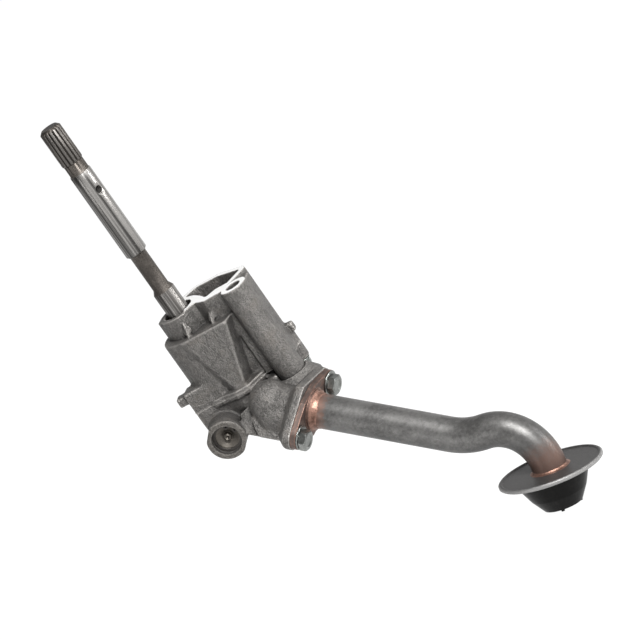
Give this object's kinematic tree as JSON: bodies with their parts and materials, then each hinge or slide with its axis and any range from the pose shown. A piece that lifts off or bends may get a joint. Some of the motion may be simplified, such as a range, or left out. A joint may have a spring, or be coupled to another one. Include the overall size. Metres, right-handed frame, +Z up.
{
  "type": "engine oil pump",
  "caption": "Shaft-driven engine oil pump with a cast body and cover, relief valve and a bent suction tube that ends in a round strainer.",
  "frame": {"origin": "point where the drive-shaft axis meets the machined mounting face", "axes": "+Z up the drive shaft to its splined end, +X from the shaft towards the mounting sleeve and the suction tube, the relief valve opens towards -Y"},
  "size_m": [0.2537, 0.1915, 0.3775],
  "materials": {
    "cast_aluminium": "cast, satin",
    "ground_steel": "ground",
    "sintered_steel": "machined",
    "bronze": "machined",
    "spring_steel": "oiled",
    "plain_steel": "turned",
    "seal_rubber": "smooth",
    "zinc_steel": "zinc plated",
    "plate_steel": "scaled",
    "tube_steel": "drawn",
    "copper_braze": "flowed",
    "pressed_steel": "pressed",
    "black_steel": "gloss",
    "screen_wire": "woven"
  },
  "bodies": {
    "housing": {"pump_body": "cast_aluminium", "pump_cover": "cast_aluminium", "idler_pin": "ground_steel", "upper_shaft_bush": "bronze", "lower_shaft_bush": "bronze", "relief_spring": "spring_steel", "relief_cap": "plain_steel", "relief_cap_seal": "seal_rubber", "relief_circlip": "spring_steel", "cover_bolts": "zinc_steel", "cover_washers": "zinc_steel", "cover_dowels": "ground_steel", "inlet_flange": "plate_steel", "inlet_seal": "seal_rubber", "inlet_washers": "zinc_steel", "inlet_bolts": "zinc_steel", "inlet_tube": "tube_steel", "flange_braze": "copper_braze", "strainer_braze": "copper_braze", "strainer_plate": "pressed_steel", "strainer_cup": "black_steel", "strainer_screen": "screen_wire"},
    "drive": {"drive_shaft": "ground_steel", "drive_gear": "sintered_steel", "drive_gear_key": "ground_steel"},
    "idler": {"idler_gear": "sintered_steel", "idler_bush": "bronze"},
    "piston": {"relief_piston": "ground_steel"}
  },
  "joints": [
    {"name": "shaft_spin", "type": "hinge", "parent": "housing", "child": "drive", "pos_m": [0, 0, 0], "axis": [0, 0, 1], "continuous": true},
    {"name": "idler_spin", "type": "hinge", "parent": "housing", "child": "idler", "pos_m": [0.02457, 0.01721, -0.052], "axis": [0, 0, 1], "continuous": true},
    {"name": "piston_slide", "type": "slide", "parent": "housing", "child": "piston", "axis": [0, -1, 0], "range_m": [0, 0.008], "stiffness_N_per_m": 3000, "deforming": ["relief_spring"]}
  ],
  "couplings": [
    {"joint": "idler_spin", "follows": "shaft_spin", "ratio": -1}
  ]
}
